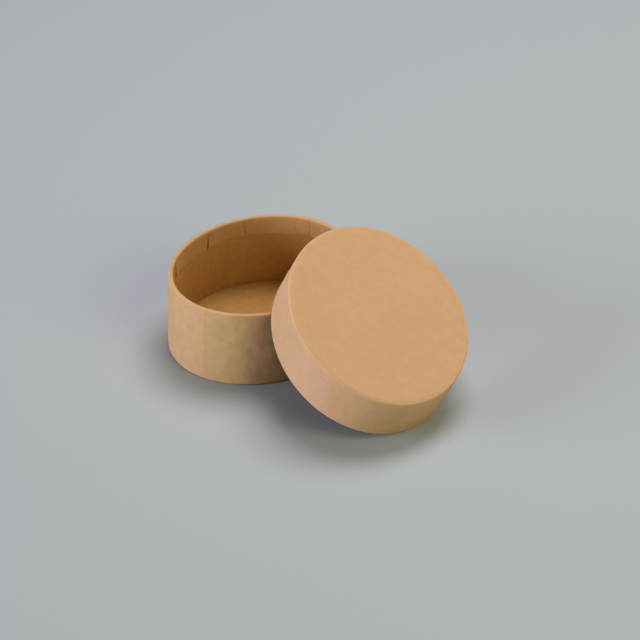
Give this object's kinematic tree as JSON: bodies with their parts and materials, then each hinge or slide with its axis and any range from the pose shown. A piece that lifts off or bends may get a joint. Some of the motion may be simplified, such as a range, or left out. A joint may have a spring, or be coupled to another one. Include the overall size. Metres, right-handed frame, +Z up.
{
  "type": "oval cardboard box",
  "caption": "Open oval board box wrapped in kraft paper, with its lift-off oval lid leaned on the rim, one edge on the floor.",
  "frame": {"origin": "centre of the box's underside, where it stands on the surface", "axes": "+Z up, +X along the oval's long axis, -Y the side that the lid leans on"},
  "size_m": [0.1173, 0.1546, 0.0627],
  "materials": {
    "kraft_paper": "matt brown kraft paper",
    "kraft_paper_lid": "matt brown kraft paper, a little paler",
    "bare_board": "matt bare brown board"
  },
  "bodies": {
    "base": {"base_bottom_paper": "kraft_paper", "base_floor_board": "bare_board", "base_wall_board": "bare_board", "base_wrap_paper": "kraft_paper"},
    "lid": {"lid_rim_board": "bare_board", "lid_top_board": "bare_board", "lid_top_paper": "kraft_paper_lid", "lid_wrap_paper": "kraft_paper_lid"}
  },
  "joints": [
    {"name": "lid_lift", "type": "slide", "parent": "base", "child": "lid", "axis": [0, 0, 1], "range_m": [0, 0.08]}
  ]
}
